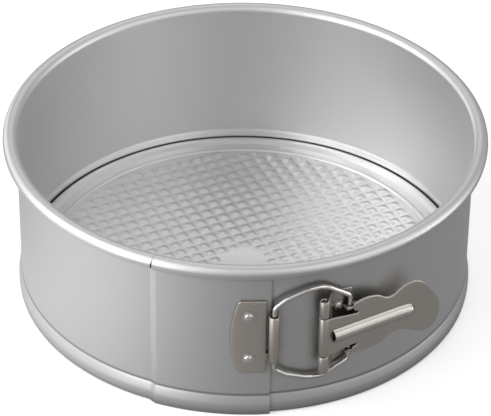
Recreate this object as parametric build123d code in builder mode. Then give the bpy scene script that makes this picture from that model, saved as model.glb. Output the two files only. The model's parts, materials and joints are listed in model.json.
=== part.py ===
from build123d import *
import os
from math import acos, atan2, cos, degrees, radians, sin

# Springform pan: a flat stamped base held in a one-piece side band whose two ends
# overlap and are drawn together by an over-centre lever latch.
#
# Millimetres. +Z is up, z = 0 is the table, and the Z axis is the axis of the pan.
# An azimuth is an angle round the pan in degrees, 0 at -Y (the latch side), growing
# towards +X, so it turns the same way as the right-hand rule about +Z.

# ---------------------------------------------------------------- driving dimensions
INNER_RADIUS = 101.6            # 8 inch inside diameter
PAN_HEIGHT = 80.3               # table to top of the rim, about 3 inch of usable depth
SHEET = 0.7                     # thickness of the band's aluminium sheet

RIM_HALF_WIDTH = 3.37           # the rolled rim is a slightly flat oval tube
RIM_HALF_HEIGHT = 2.97
RIM_MOUTH = 0.7                 # gap between the curl's edge and the wall

GROOVE_STEP = 0.85              # how far the bottom groove stands out from the wall
GROOVE_CREASE_Z = 9.6           # where the wall starts to bulge
GROOVE_SHOULDER_Z = 6.8         # where the bulge reaches its full radius
BOTTOM_RADIUS = 1.3             # rounding between the groove and the bottom lip
LIP_RADIUS = 97.0               # inner edge of the lip that carries the base

SEAM_AZIMUTH = -22.3            # where the outer end of the strip steps outwards
SEAM_HALF_GAP = 0.25            # degrees, half the gap at the inner end of the strip
JOGGLE_SPAN = 0.55              # degrees taken up by the outward step
OUTER_END_AZIMUTH = 6.6         # where the outer end of the strip stops
LAYER_GAP = 0.4                 # air between the two layers of the overlap
OUTER_LAYER_TOP_Z = 74.1        # the outer layer stops just under the rolled rim

BASE_RADIUS = 101.2             # lifts out through the 101.6 mm wall
BASE_SHEET = 0.8
BASE_EDGE_Z = 6.2               # top of the base's edge
CHANNEL_Z = 4.9                 # top of the shallow channel inside the edge
FIELD_Z = 5.1                   # top of the field inside the ridge
RIDGE_Z = 5.9                   # top of the thin ridge round the field
EDGE_INNER_RADIUS = 98.6
EDGE_CROWN = 0.2                # the edge falls this much towards the channel
CHANNEL_OUTER_RADIUS = 97.2
RIDGE_RADIUS = 91.6
RIDGE_HALF_WIDTH = 1.1

LATCH_Z = 42.1                  # height of the latch's centre line
STEEL = 1.2                     # catch plate and bracket sheet
LEVER_SHEET = 1.0
PLATE_HALF_HEIGHT = 19.1
CORNER_RADIUS = 1.3

RIVET_SHANK_RADIUS = 1.6
RIVET_HEAD_RADIUS = 2.7
RIVET_HEAD_HEIGHT = 1.3
RIVET_FLANGE = 0.4
RIVET_DOME_RADIUS = 2.1
RIVET_DOME_TAPER = 35           # degrees
RIVET_HALF_PITCH = 11.2

CATCH_AZIMUTH = 1.35            # rivet line of the catch plate
CATCH_CORNER = 4.3              # rivet line to the plate's far corners
CATCH_BOW = 7.6                 # rivet line to the plate's bowed far edge
CATCH_NEAR = 7.1                # rivet line to the edge beside the barrel

WIRE_RADIUS = 1.05
PIN_RADIUS = 1.03
RUNNING_CLEARANCE = 0.07
BARREL_AZIMUTH = 7.2
BARREL_HALF_HEIGHT = 12.1
BARREL_SLIT = 0.3               # depth of the slit between the barrel's edge and the plate
BAIL_HALF_HEIGHT = 16.3         # half the straight stretch of wire inside the barrel
BAIL_BEND_RADIUS = 2.6
# how the wire spreads above the centre line: (distance from the barrel, height)
BAIL_SPREAD = [(6.0, 20.0), (19.5, 24.4)]
BAIL_END_HEIGHT = 17.2          # where the wire turns back towards the centre line
BAIL_LEG_END = 9.8              # how close to the centre line its ends come

BRACKET_AZIMUTH = 22.9          # rivet line of the lever bracket
BRACKET_CORNER = 6.2
BRACKET_BOW = 9.0
BRACKET_NEAR = 2.9

KNUCKLE_AZIMUTH = 18.5
KNUCKLE_RADIUS_FROM_AXIS = 108.2
KNUCKLE_HALF_HEIGHT = 19.0
LEVER_ROLL_HALF_HEIGHT = 10.0
KNUCKLE_SLACK = 0.2
PIN_OVERHANG = 0.4              # the pin stands this far out of the knuckles
PIN_CHAMFER = 0.25

ROLL_INSET = 0.05               # the sheet lies this far inside its roll's outer surface

LEVER_HEADING = 31              # degrees, direction of the closed lever from +X
LEVER_STRAIGHT = 38             # the lever is straight this far from its hinge
LEVER_FLARE = 5                 # degrees the paddle is bent outwards
FLARE_RADIUS = 60
LEVER_LENGTH = 56.8
# upper half of the lever's outline: (distance from the hinge, height)
TONGUE = [(0, 10.0), (15.6, 8.0)]
NOTCH = [(16.6, 8.7), (13.8, 9.6), (13.3, 13.0)]
HEAD_AND_PADDLE = [
    (13.3, 13.0),
    (20.5, 14.1),
    (26.5, 13.0),
    (33.0, 9.8),
    (39.5, 11.9),
    (46.5, 13.7),
    (51.8, 10.2),
    (LEVER_LENGTH, 0),
]
RIB_START, RIB_END = 3.5, 44.0
RIB_RADIUS = 2.1                # the rib is half round
EAR_REACH = 13.0                # hinge to the wire's leg, along the lever
EAR_DEPTH = 0.4                 # hinge to the wire's leg, towards the pan
EAR_EDGE = 1.9                  # how far the ears reach towards the pan
EAR_ROOT = 1.9                  # and how far outwards, into the head's sheet
EAR_NEAR, EAR_FAR = 10.4, 18.5  # where an ear starts and ends, along the lever
EAR_CORNER = 2.6                # length cut off the ear's far corner
EAR_HALF_HEIGHT = 11.0          # height of the ears' lower faces above the centre line
EAR_HOLE_CLEARANCE = 0.2
EAR_NOTCH = (-0.9, 3.2)         # the notch runs this way from the wire's leg

# ------------------------------------------------------------------ worked-out values
WALL_RADIUS = INNER_RADIUS + SHEET
GROOVE_RADIUS = WALL_RADIUS + GROOVE_STEP
LAYER_STEP = SHEET + LAYER_GAP
OVERLAP_RADIUS = WALL_RADIUS + LAYER_STEP
RIM_CENTRE_RADIUS = INNER_RADIUS + RIM_HALF_WIDTH
RIM_CENTRE_Z = PAN_HEIGHT - RIM_HALF_HEIGHT
BARREL_RADIUS = WIRE_RADIUS + RUNNING_CLEARANCE + STEEL
KNUCKLE_BORE = PIN_RADIUS + RUNNING_CLEARANCE
KNUCKLE_RADIUS = KNUCKLE_BORE + LEVER_SHEET
SEAM_END = SEAM_AZIMUTH - SEAM_HALF_GAP
LEVER_SHEET_OFFSET = KNUCKLE_RADIUS - LEVER_SHEET / 2 - ROLL_INSET
LEVER_REACH = 3 * LEVER_LENGTH * sin(radians(LEVER_FLARE)) + 2 * KNUCKLE_RADIUS


def around(azimuth, radius, z=0.0):
    """Point at an azimuth, a distance from the pan's axis and a height."""
    a = radians(azimuth)
    return Vector(radius * sin(a), -radius * cos(a), z)


def radial_plane(azimuth):
    """Sketch plane through the pan's axis: x is the radius, y is the height."""
    outward = around(azimuth, 1)
    return Plane(origin=(0, 0, 0), x_dir=outward, z_dir=outward.cross(Vector(0, 0, 1)))


def facing_plane(azimuth, radius):
    """Sketch plane seen from outside the pan: x runs along the wall, y is up from the
    latch's centre line, and z points outwards."""
    along = around(azimuth + 90, 1)
    return Plane(
        origin=around(azimuth, radius, LATCH_Z), x_dir=along, z_dir=around(azimuth, 1)
    )


BARREL_CENTRE = around(BARREL_AZIMUTH, OVERLAP_RADIUS + BARREL_RADIUS)
HINGE_CENTRE = around(KNUCKLE_AZIMUTH, KNUCKLE_RADIUS_FROM_AXIS)
LEVER_ALONG = Vector(cos(radians(LEVER_HEADING)), sin(radians(LEVER_HEADING)))
LEVER_OUTWARD = Vector(LEVER_ALONG.Y, -LEVER_ALONG.X)
LEVER_PLANE = Plane(
    origin=HINGE_CENTRE + Vector(0, 0, LATCH_Z), x_dir=LEVER_ALONG, z_dir=LEVER_OUTWARD
)
WIRE_END = HINGE_CENTRE + LEVER_ALONG * EAR_REACH - LEVER_OUTWARD * EAR_DEPTH
WIRE_SPAN = (WIRE_END - BARREL_CENTRE).length


# ------------------------------------------------------------------------- side band
def layer_face(step):
    """Cross-section of the plain wall and groove, moved out by a step, without lip."""
    inner = INNER_RADIUS + step
    groove_inner = inner + GROOVE_STEP
    top = RIM_CENTRE_Z if step == 0 else OUTER_LAYER_TOP_Z
    with BuildLine() as profile:
        Polyline(
            (groove_inner, 0),
            (groove_inner, GROOVE_SHOULDER_Z),
            (inner, GROOVE_CREASE_Z),
            (inner, top),
            (inner + SHEET, top),
            (inner + SHEET, GROOVE_CREASE_Z),
            (groove_inner + SHEET, GROOVE_SHOULDER_Z),
            (groove_inner + SHEET, 0),
            close=True,
        )
    make_face(profile.edges())


with BuildPart() as side_band:
    # the strip goes once round the pan, from its inner end back to the seam
    with BuildSketch(radial_plane(SEAM_AZIMUTH + SEAM_HALF_GAP)) as strip:
        layer_face(0)
        with Locations((LIP_RADIUS, 0)):
            Rectangle(GROOVE_RADIUS - LIP_RADIUS, SHEET, align=(Align.MIN, Align.MIN))
        fillet(strip.vertices().group_by(Axis.Y)[0].sort_by(Axis.X)[-1], BOTTOM_RADIUS)
        with Locations((RIM_CENTRE_RADIUS, RIM_CENTRE_Z)):
            Ellipse(RIM_HALF_WIDTH, RIM_HALF_HEIGHT)
            Ellipse(RIM_HALF_WIDTH - SHEET, RIM_HALF_HEIGHT - SHEET, mode=Mode.SUBTRACT)
        with Locations((WALL_RADIUS, RIM_CENTRE_Z)):
            Rectangle(
                RIM_MOUTH, RIM_HALF_HEIGHT, align=(Align.MIN, Align.MAX), mode=Mode.SUBTRACT
            )
    revolve(axis=Axis.Z, revolution_arc=360 - 2 * SEAM_HALF_GAP)
    # the outward step at the seam joins the strip to its outer end
    with BuildSketch(radial_plane(SEAM_END - JOGGLE_SPAN)):
        layer_face(0)
        layer_face(SHEET)
        layer_face(LAYER_STEP)
        with Locations((WALL_RADIUS + LAYER_STEP, OUTER_LAYER_TOP_Z)):
            Rectangle(
                2 * RIM_HALF_WIDTH,
                2 * RIM_HALF_HEIGHT + PAN_HEIGHT,
                align=(Align.CENTER, Align.MIN),
                mode=Mode.SUBTRACT,
            )
    revolve(axis=Axis.Z, revolution_arc=JOGGLE_SPAN)
    # the outer end lies over the inner end as far as the catch plate
    with BuildSketch(radial_plane(SEAM_END)):
        layer_face(LAYER_STEP)
    revolve(axis=Axis.Z, revolution_arc=OUTER_END_AZIMUTH - SEAM_END)
    # rivet holes through the layer that carries each plate
    with BuildSketch(facing_plane(CATCH_AZIMUTH, OVERLAP_RADIUS + STEEL)):
        with Locations((0, RIVET_HALF_PITCH), (0, -RIVET_HALF_PITCH)):
            Circle(RIVET_SHANK_RADIUS)
    extrude(amount=-(STEEL + SHEET + LAYER_GAP / 2), mode=Mode.SUBTRACT)
    with BuildSketch(facing_plane(BRACKET_AZIMUTH, WALL_RADIUS + STEEL)):
        with Locations((0, RIVET_HALF_PITCH), (0, -RIVET_HALF_PITCH)):
            Circle(RIVET_SHANK_RADIUS)
    extrude(amount=-(STEEL + 2 * SHEET), mode=Mode.SUBTRACT)


# ----------------------------------------------------------------------------- base
with BuildPart() as base_plate:
    # stamped disc with a turned-down edge that stands on the band's lip
    with BuildSketch(Plane.XZ):
        with BuildLine():
            Polyline(
                (0, FIELD_Z),
                (RIDGE_RADIUS - RIDGE_HALF_WIDTH, FIELD_Z),
                (RIDGE_RADIUS, RIDGE_Z),
                (RIDGE_RADIUS + RIDGE_HALF_WIDTH, CHANNEL_Z),
                (CHANNEL_OUTER_RADIUS, CHANNEL_Z),
                (EDGE_INNER_RADIUS, BASE_EDGE_Z - EDGE_CROWN),
                (BASE_RADIUS, BASE_EDGE_Z),
                (BASE_RADIUS, SHEET),
                (BASE_RADIUS - BASE_SHEET, SHEET),
                (BASE_RADIUS - BASE_SHEET, BASE_EDGE_Z - BASE_SHEET),
                (EDGE_INNER_RADIUS, BASE_EDGE_Z - BASE_SHEET - EDGE_CROWN),
                (CHANNEL_OUTER_RADIUS, CHANNEL_Z - BASE_SHEET),
                (RIDGE_RADIUS + RIDGE_HALF_WIDTH, CHANNEL_Z - BASE_SHEET),
                (RIDGE_RADIUS, RIDGE_Z - BASE_SHEET),
                (RIDGE_RADIUS - RIDGE_HALF_WIDTH, FIELD_Z - BASE_SHEET),
                (0, FIELD_Z - BASE_SHEET),
                close=True,
            )
        make_face()
    revolve(axis=Axis.Z)


# ------------------------------------------------------------- catch plate and barrel
def bowed_plate(corner, bow, near, side):
    """Plate outline with two rivet holes; side is +1 or -1 for the bowed edge."""
    with BuildLine() as profile:
        Polyline(
            (side * corner, PLATE_HALF_HEIGHT),
            (-side * near, PLATE_HALF_HEIGHT),
            (-side * near, -PLATE_HALF_HEIGHT),
            (side * corner, -PLATE_HALF_HEIGHT),
        )
        ThreePointArc(
            (side * corner, -PLATE_HALF_HEIGHT), (side * bow, 0), (side * corner, PLATE_HALF_HEIGHT)
        )
    make_face(profile.edges())
    with Locations((0, RIVET_HALF_PITCH), (0, -RIVET_HALF_PITCH)):
        Circle(RIVET_SHANK_RADIUS, mode=Mode.SUBTRACT)


def shell_face(inner):
    """Cross-section that bends a flat outline onto the wall: a ring one sheet thick."""
    with Locations((inner, LATCH_Z)):
        Rectangle(STEEL, 2 * PLATE_HALF_HEIGHT + 2, align=(Align.MIN, Align.CENTER))


with BuildPart() as catch_plate:
    with BuildSketch(facing_plane(CATCH_AZIMUTH, OVERLAP_RADIUS - 1)) as outline:
        bowed_plate(CATCH_CORNER, CATCH_BOW, CATCH_NEAR, -1)
        fillet(outline.vertices().group_by(Axis.Y)[0], CORNER_RADIUS)
        fillet(outline.vertices().group_by(Axis.Y)[-1], CORNER_RADIUS)
        barrel_offset = radians(BARREL_AZIMUTH - CATCH_AZIMUTH) * OVERLAP_RADIUS
        Rectangle(barrel_offset, 2 * BARREL_HALF_HEIGHT, align=(Align.MIN, Align.CENTER))
        with Locations((0, RIVET_HALF_PITCH), (0, -RIVET_HALF_PITCH)):
            Circle(RIVET_SHANK_RADIUS, mode=Mode.SUBTRACT)
    extrude(amount=3 * STEEL)
    with BuildSketch(radial_plane(CATCH_AZIMUTH - 15)):
        shell_face(OVERLAP_RADIUS)
    revolve(axis=Axis.Z, revolution_arc=30, mode=Mode.INTERSECT)
    # the tongue curls into a barrel for the wire, and its edge stops short of the plate
    with BuildSketch(Plane.XY.offset(LATCH_Z - BARREL_HALF_HEIGHT)):
        with Locations(BARREL_CENTRE):
            Circle(BARREL_RADIUS)
    extrude(amount=2 * BARREL_HALF_HEIGHT)
    with BuildSketch(Plane.XY.offset(LATCH_Z - BARREL_HALF_HEIGHT)):
        with Locations(BARREL_CENTRE):
            Circle(BARREL_RADIUS - STEEL)
    extrude(amount=2 * BARREL_HALF_HEIGHT, mode=Mode.SUBTRACT)
    with BuildSketch(facing_plane(BARREL_AZIMUTH, OVERLAP_RADIUS + STEEL)):
        with Locations((-WIRE_RADIUS / 2, 0)):
            Rectangle(BARREL_RADIUS, 2 * BARREL_HALF_HEIGHT, align=(Align.MAX, Align.CENTER))
    extrude(amount=BARREL_SLIT, mode=Mode.SUBTRACT)


# ----------------------------------------------------------------------------- rivets
def rivet_pair(azimuth, seat_radius, shank_length):
    """Two rivets, one above the other: a shank through the sheets, a thin flat flange
    that bears on the plate, and a low dome on the flange."""
    places = [(0, RIVET_HALF_PITCH), (0, -RIVET_HALF_PITCH)]
    with BuildSketch(facing_plane(azimuth, seat_radius)) as shank:
        with Locations(places):
            Circle(RIVET_SHANK_RADIUS)
    extrude(shank.sketch, amount=-shank_length)
    with BuildSketch(facing_plane(azimuth, seat_radius)) as flange:
        with Locations(places):
            Circle(RIVET_HEAD_RADIUS)
    extrude(flange.sketch, amount=RIVET_FLANGE)
    with BuildSketch(facing_plane(azimuth, seat_radius + RIVET_FLANGE)) as dome:
        with Locations(places):
            Circle(RIVET_DOME_RADIUS)
    dome_height = RIVET_HEAD_HEIGHT - RIVET_FLANGE
    extrude(dome.sketch, amount=dome_height, taper=RIVET_DOME_TAPER)


with BuildPart() as catch_rivets:
    rivet_pair(CATCH_AZIMUTH, OVERLAP_RADIUS + STEEL, STEEL + SHEET)

with BuildPart() as bracket_rivets:
    rivet_pair(BRACKET_AZIMUTH, WALL_RADIUS + STEEL, STEEL + SHEET)


# ---------------------------------------------------------------------- lever bracket
with BuildPart() as lever_bracket:
    with BuildSketch(facing_plane(BRACKET_AZIMUTH, WALL_RADIUS - 1)) as outline:
        bowed_plate(BRACKET_CORNER, BRACKET_BOW, BRACKET_NEAR, 1)
        fillet(outline.vertices().group_by(Axis.Y)[0], CORNER_RADIUS)
        fillet(outline.vertices().group_by(Axis.Y)[-1], CORNER_RADIUS)
    extrude(amount=3 * STEEL)
    with BuildSketch(radial_plane(BRACKET_AZIMUTH - 15)):
        shell_face(WALL_RADIUS)
    revolve(axis=Axis.Z, revolution_arc=30, mode=Mode.INTERSECT)
    # two arms stand out from the plate's edge and roll round the hinge pin
    arm_root = around(
        BRACKET_AZIMUTH - degrees(BRACKET_NEAR / WALL_RADIUS), WALL_RADIUS + STEEL / 2 + 0.05
    )
    to_root = arm_root - HINGE_CENTRE
    roll_middle = LEVER_SHEET_OFFSET
    tangent_turn = acos(roll_middle / to_root.length)
    tangent_angle = atan2(to_root.Y, to_root.X) - tangent_turn
    arm_end = HINGE_CENTRE + Vector(cos(tangent_angle), sin(tangent_angle)) * roll_middle
    arm_height = KNUCKLE_HALF_HEIGHT - LEVER_ROLL_HALF_HEIGHT - KNUCKLE_SLACK
    for low in (LATCH_Z - KNUCKLE_HALF_HEIGHT, LATCH_Z + LEVER_ROLL_HALF_HEIGHT + KNUCKLE_SLACK):
        with BuildSketch(Plane.XY.offset(low)):
            with BuildLine():
                Line(arm_root, arm_end)
            trace(line_width=LEVER_SHEET)
            with Locations(HINGE_CENTRE):
                Circle(KNUCKLE_RADIUS)
                Circle(KNUCKLE_BORE, mode=Mode.SUBTRACT)
        extrude(amount=arm_height)

with BuildPart() as hinge_pin:
    pin_half_height = KNUCKLE_HALF_HEIGHT + PIN_OVERHANG
    with BuildSketch(Plane.XY.offset(LATCH_Z - pin_half_height)):
        with Locations(HINGE_CENTRE):
            Circle(PIN_RADIUS)
    extrude(amount=2 * pin_half_height)
    chamfer(hinge_pin.edges().filter_by(GeomType.CIRCLE), PIN_CHAMFER)


# ------------------------------------------------------------------------------ lever
def lever_outline():
    """Key-like outline of the lever in its own plane: a tapering tongue from the hinge,
    a head with a notch above and below the tongue, a waist and a round paddle."""
    with BuildLine() as profile:
        for side in (1, -1):
            Polyline(*[(x, side * y) for x, y in TONGUE + NOTCH])
            Spline(
                *[(x, side * y) for x, y in HEAD_AND_PADDLE],
                tangents=((1, side * 0.3), (0, -side)),
            )
        Line((0, -TONGUE[0][1]), (0, TONGUE[0][1]))
    make_face(profile.edges())


def lever_side_path():
    """Path of the lever sheet seen from above: straight, then flared at the tip."""
    start = HINGE_CENTRE + LEVER_OUTWARD * LEVER_SHEET_OFFSET
    bend = start + LEVER_ALONG * LEVER_STRAIGHT
    flare_length = LEVER_LENGTH - LEVER_STRAIGHT
    flare_heading = radians(LEVER_HEADING - LEVER_FLARE)
    tip = bend + Vector(cos(flare_heading), sin(flare_heading)) * (flare_length + 1)
    with BuildLine() as profile:
        FilletPolyline(start, bend, tip, radius=FLARE_RADIUS)
    trace(profile.line, LEVER_SHEET)


def rib_profile(radius):
    """Half of the rib seen face on, above its axis, with a round far end."""
    shoulder = RIB_END - RIB_RADIUS
    with BuildLine() as profile:
        Polyline((shoulder + radius, 0), (RIB_START, 0), (RIB_START, radius), (shoulder, radius))
        RadiusArc((shoulder, radius), (shoulder + radius, 0), radius)
    make_face(profile.edges())


with BuildPart() as lever:
    sheet_plane = LEVER_PLANE.offset(LEVER_SHEET_OFFSET)
    rib_axis = Axis(sheet_plane.origin, LEVER_ALONG)
    with BuildSketch(LEVER_PLANE.offset(-KNUCKLE_RADIUS)):
        lever_outline()
    extrude(amount=LEVER_REACH)
    with BuildSketch(Plane.XY.offset(LATCH_Z - PLATE_HALF_HEIGHT)):
        lever_side_path()
    extrude(amount=2 * PLATE_HALF_HEIGHT, mode=Mode.INTERSECT)
    # stiffening rib pressed outwards along the middle, open towards the hinge
    with BuildSketch(sheet_plane):
        rib_profile(RIB_RADIUS)
    revolve(axis=rib_axis, revolution_arc=180)
    with BuildSketch(sheet_plane):
        rib_profile(RIB_RADIUS - LEVER_SHEET)
    revolve(axis=rib_axis, mode=Mode.SUBTRACT)
    # roll round the pin
    with BuildSketch(Plane.XY.offset(LATCH_Z - LEVER_ROLL_HALF_HEIGHT)):
        with Locations(HINGE_CENTRE):
            Circle(KNUCKLE_RADIUS)
    extrude(amount=2 * LEVER_ROLL_HALF_HEIGHT)
    with BuildSketch(Plane.XY.offset(LATCH_Z - LEVER_ROLL_HALF_HEIGHT)):
        with Locations(HINGE_CENTRE):
            Circle(KNUCKLE_BORE)
    extrude(amount=2 * LEVER_ROLL_HALF_HEIGHT, mode=Mode.SUBTRACT)
    # an ear above and below the tongue takes the ends of the wire; each ear is notched
    # towards the pan, which is the opened pivot of the latch's closed linkage
    for low in (LATCH_Z + EAR_HALF_HEIGHT, LATCH_Z - EAR_HALF_HEIGHT - LEVER_SHEET):
        ear_plane = Plane(origin=HINGE_CENTRE + Vector(0, 0, low), x_dir=LEVER_ALONG)
        with BuildSketch(ear_plane) as ear:
            with BuildLine():
                Polyline(
                    (EAR_NEAR, -EAR_ROOT),
                    (EAR_FAR, -EAR_ROOT),
                    (EAR_FAR, EAR_EDGE - EAR_CORNER),
                    (EAR_FAR - EAR_CORNER, EAR_EDGE),
                    (EAR_NEAR, EAR_EDGE),
                    close=True,
                )
            make_face()
            leg = Vector(EAR_REACH, EAR_DEPTH)
            hole_radius = WIRE_RADIUS + EAR_HOLE_CLEARANCE
            with BuildLine():
                Line(leg, leg + Vector(*EAR_NOTCH))
            trace(line_width=2 * hole_radius, mode=Mode.SUBTRACT)
            with Locations(leg):
                Circle(hole_radius, mode=Mode.SUBTRACT)
        extrude(amount=LEVER_SHEET)


# -------------------------------------------------------------------------- bail wire
with BuildPart() as bail_wire:
    bail_plane = Plane(
        origin=BARREL_CENTRE + Vector(0, 0, LATCH_Z),
        x_dir=WIRE_END - BARREL_CENTRE,
        z_dir=(WIRE_END - BARREL_CENTRE).cross(Vector(0, 0, 1)),
    )
    with BuildLine(bail_plane):
        upper = [*BAIL_SPREAD, (WIRE_SPAN, BAIL_END_HEIGHT), (WIRE_SPAN, BAIL_LEG_END)]
        lower = [(x, -y) for x, y in reversed(upper)]
        path = FilletPolyline(
            *lower,
            (0, -BAIL_HALF_HEIGHT),
            (0, BAIL_HALF_HEIGHT),
            *upper,
            radius=BAIL_BEND_RADIUS,
        )
    with BuildSketch(Plane(origin=path @ 0, z_dir=path % 0)):
        Circle(WIRE_RADIUS)
    sweep(path=path)


# ----------------------------------------------------------------------------- export
os.makedirs("parts", exist_ok=True)
side_band.part.label = "side_band"
export_step(side_band.part, "parts/side_band.step")
base_plate.part.label = "base_plate"
export_step(base_plate.part, "parts/base_plate.step")
catch_plate.part.label = "catch_plate"
export_step(catch_plate.part, "parts/catch_plate.step")
catch_rivets.part.label = "catch_rivets"
export_step(catch_rivets.part, "parts/catch_rivets.step")
lever_bracket.part.label = "lever_bracket"
export_step(lever_bracket.part, "parts/lever_bracket.step")
bracket_rivets.part.label = "bracket_rivets"
export_step(bracket_rivets.part, "parts/bracket_rivets.step")
hinge_pin.part.label = "hinge_pin"
export_step(hinge_pin.part, "parts/hinge_pin.step")
lever.part.label = "lever"
export_step(lever.part, "parts/lever.step")
bail_wire.part.label = "bail_wire"
export_step(bail_wire.part, "parts/bail_wire.step")
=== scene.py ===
import json
from math import acos, atan2, ceil, cos, degrees, exp, hypot, pi, radians, sin, tan

import bmesh
import bpy
from mathutils import Matrix, Vector
from mathutils.geometry import delaunay_2d_cdt


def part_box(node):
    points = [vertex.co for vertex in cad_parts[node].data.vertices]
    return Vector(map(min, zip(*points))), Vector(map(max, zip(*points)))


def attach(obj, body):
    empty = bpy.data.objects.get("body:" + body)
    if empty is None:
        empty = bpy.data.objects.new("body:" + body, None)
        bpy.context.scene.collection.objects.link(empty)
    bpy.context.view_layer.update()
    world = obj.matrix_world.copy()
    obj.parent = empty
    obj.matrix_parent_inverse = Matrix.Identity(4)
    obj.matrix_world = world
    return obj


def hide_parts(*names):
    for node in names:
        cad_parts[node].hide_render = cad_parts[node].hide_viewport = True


# Springform pan. The frame is in metres, so every size below is given in millimetres and
# turned into metres once, where a mesh is made. +Z is up and is the pan's axis. An azimuth
# is an angle round the pan in degrees, 0 at -Y (the latch side), growing towards +X.

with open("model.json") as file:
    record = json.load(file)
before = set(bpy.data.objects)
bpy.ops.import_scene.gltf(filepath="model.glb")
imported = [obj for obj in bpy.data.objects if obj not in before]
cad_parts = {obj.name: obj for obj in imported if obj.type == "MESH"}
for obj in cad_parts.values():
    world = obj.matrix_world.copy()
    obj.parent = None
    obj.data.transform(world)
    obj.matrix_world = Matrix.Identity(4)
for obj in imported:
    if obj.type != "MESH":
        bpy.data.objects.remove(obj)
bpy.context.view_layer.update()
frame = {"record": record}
MM = 0.001


def box_mm(node):
    """Lowest and highest corners of a CAD node, in millimetres."""
    low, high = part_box(node)
    return low / MM, high / MM


def joint_place(name):
    """Where a joint of the record sits, in millimetres."""
    joints = frame["record"]["behaviour"]["joints"]
    return next(Vector(joint["pos_m"]) / MM for joint in joints if joint["name"] == name)


band_low, band_high = box_mm("side_band")
base_low, base_high = box_mm("base_plate")
hinge_place = joint_place("lever_swing")
barrel_place = joint_place("bail_swing")
barrel_azimuth = degrees(atan2(barrel_place.x, -barrel_place.y))

# ------------------------------------------------------------------- sizes of the sheet
SHEET = 0.7                                       # the band's sheet
RIM_HALF_WIDTH = 3.37
RIM_HALF_HEIGHT = 2.97
RIM_ROLL_TURN = 325                               # degrees the rim is rolled through
PAN_HEIGHT = band_high.z
RIM_RADIUS = band_high.x                          # outermost radius of the rolled rim
RIM_CENTRE_RADIUS = RIM_RADIUS - RIM_HALF_WIDTH
INNER_RADIUS = RIM_CENTRE_RADIUS - RIM_HALF_WIDTH
WALL_RADIUS = INNER_RADIUS + SHEET
RIM_CENTRE_Z = PAN_HEIGHT - RIM_HALF_HEIGHT
LAYER_STEP = 1.1                                  # outer layer of the seam over the inner one
OVERLAP_RADIUS = WALL_RADIUS + LAYER_STEP
OUTER_LAYER_TOP = 74.0
SEAM_START = -22.75                               # azimuth where the strip starts to step out
SEAM_STEPPED = -21.1                              # azimuth where it has stepped out
RIM_END = -21.3                                   # azimuth where the rim's roll ends
RIM_START = -20.9                                 # azimuth where its other end begins
RIM_SLANT = 0.36                                  # how far the cut of its end leans over
RIM_EXTRA_DEPTH = 0.8                             # of the roll where it is slipped over
RIM_EXTRA_FADE = 18                               # degrees over which that fades out
BEAD_TOP = 9.7                                    # height of the crease over the bottom bead
BEAD_MIDDLE = 5.0                                 # height where the bead stands out most
BEAD_DEPTH = 1.25
BEAD_TUCK = 0.38                                  # how far the foot is tucked back in
BEAD_TUCK_TOP = 3.4                               # height where the tuck begins
BEAD_INNER_DEPTH = 0.15                           # the bead as seen inside the pan
LIP_WIDTH = 4.6                                   # inwards from the wall, under the base
OUTER_END = 6.6                                   # azimuth where the outer layer ends


# ------------------------------------------------------------------------ latch: sizes
LATCH_Z = hinge_place.z                           # height of the latch's centre line
STEEL = 1.2                                       # catch plate and bracket sheet
LEVER_SHEET = 1.0
WIRE_RADIUS = 1.05
PIN_RADIUS = 1.03
BARREL_RADIUS = 2.32
BARREL_HALF_HEIGHT = 12.1
BARREL_SHEET = 0.9
KNUCKLE_RADIUS = 2.1
KNUCKLE_HALF_HEIGHT = 19.0
KNUCKLE_GAP = 0.45                                # between the knuckles and the lever's roll
LEVER_ROLL_HALF_HEIGHT = 10.0
PLATE_HALF_HEIGHT = 19.1
CATCH_AZIMUTH = 1.35                              # rivet lines of the two plates
BRACKET_AZIMUTH = 22.9
RIVET_HALF_PITCH = 11.2
EDGE = 0.32                                       # rounding along a pressed sheet's edges
LEVER_ALONG = Vector((cos(radians(31)), sin(radians(31)), 0))
LEVER_OUTWARD = Vector((LEVER_ALONG.y, -LEVER_ALONG.x, 0))
LEVER_LENGTH = 56.8
FLARE_START = 38.0                                # where the paddle is bent outwards
FLARE_BEND = 3                                    # the bend runs this far either way
FLARE_SLOPE = tan(radians(5))
RIB_START, RIB_END = 3.5, 44.0
RIB_RADIUS = 2.75
RIB_HEIGHT = 2.3
RIB_SEAT = 0.35                                   # its foot over the middle of the sheet
EAR_LEG = Vector((13.0, 0.4))                     # the wire's leg: along the lever, panwards
EAR_HEIGHT = 11.5                                 # middle of the ears over the centre line
NOTCH_RADIUS = 1.25                               # of the ears round the wire's leg


# ------------------------------------------------------------------------ mesh helpers
def around(azimuth, radius, z=0.0):
    """Point at an azimuth, a distance from the pan's axis and a height."""
    a = radians(azimuth)
    return Vector((radius * sin(a), -radius * cos(a), z))


def smooth_step(low, high, value):
    """0 at low and before it, 1 at high and past it, and an even curve between."""
    t = min(1.0, max(0.0, (value - low) / (high - low)))
    return t * t * (3 - 2 * t)


def rounded(points, radii, steps=6):
    """A path of 2-D points whose inner corners are rounded to the radii given for them."""
    path = [Vector(points[0])]
    for i in range(1, len(points) - 1):
        corner, radius = Vector(points[i]), radii[i - 1]
        before = (Vector(points[i - 1]) - corner).normalized()
        after = (Vector(points[i + 1]) - corner).normalized()
        half = before.angle(after) / 2
        if radius <= 0:
            path.append(corner)
            continue
        setback = radius / tan(half)
        centre = corner + (before + after).normalized() * (radius / sin(half))
        first = corner + before * setback - centre
        last = corner + after * setback - centre
        turn = first.angle(last)
        for k in range(steps + 1):
            share = k / steps
            weight_a = sin((1 - share) * turn) / sin(turn)
            weight_b = sin(share * turn) / sin(turn)
            path.append(centre + first * weight_a + last * weight_b)
    path.append(Vector(points[-1]))
    return path


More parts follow.
